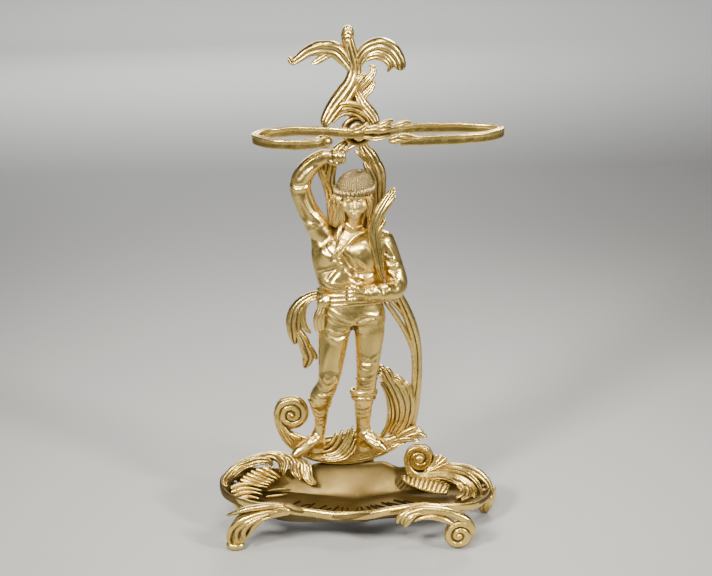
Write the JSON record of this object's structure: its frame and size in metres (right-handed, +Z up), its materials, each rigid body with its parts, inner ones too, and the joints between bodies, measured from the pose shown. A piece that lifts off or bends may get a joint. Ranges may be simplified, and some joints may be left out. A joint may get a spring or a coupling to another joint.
{
  "type": "figural umbrella stand",
  "caption": "Cast brass umbrella stand: a standing figure on a leafy crescent scroll, open loops at the top for umbrellas, and a footed drip tray below.",
  "frame": {"origin": "on the floor, under the middle of the stand's bounding box", "axes": "+Z up, the figure's face towards -Y, the figure's raised arm on the -X side"},
  "size_m": [0.4057, 0.179, 0.7308],
  "materials": {
    "polished_brass": "polished cast brass, browner in the recesses",
    "tray_brass": "duller, slightly tarnished brass",
    "steel": "plain darkened steel fasteners"
  },
  "bodies": {
    "root": {"acanthus_right": "polished_brass", "base_nut_left": "steel", "base_nut_right": "steel", "base_stud_left": "steel", "base_stud_right": "steel", "base_washer_left": "steel", "base_washer_right": "steel", "bent_arm": "polished_brass", "boot_screw_left": "steel", "boot_screw_right": "steel", "drip_tray": "tray_brass", "figure_body": "polished_brass", "finial": "polished_brass", "foot_front_left": "polished_brass", "foot_front_right": "polished_brass", "foot_rear_left": "polished_brass", "foot_rear_right": "polished_brass", "frond_left": "polished_brass", "frond_right": "polished_brass", "ground_leaf": "polished_brass", "rail_screw": "steel", "rail_washer": "steel", "raised_arm": "polished_brass", "screw_front_left": "steel", "screw_front_right": "steel", "screw_rear_left": "steel", "screw_rear_right": "steel", "scroll_base": "polished_brass", "shoulder_leaf": "polished_brass", "stem_right": "polished_brass", "tendril_left": "polished_brass", "tray_leaf_left": "polished_brass", "tray_volute_right": "polished_brass", "umbrella_rail": "polished_brass", "upright_boss": "polished_brass"}
  },
  "joints": []
}
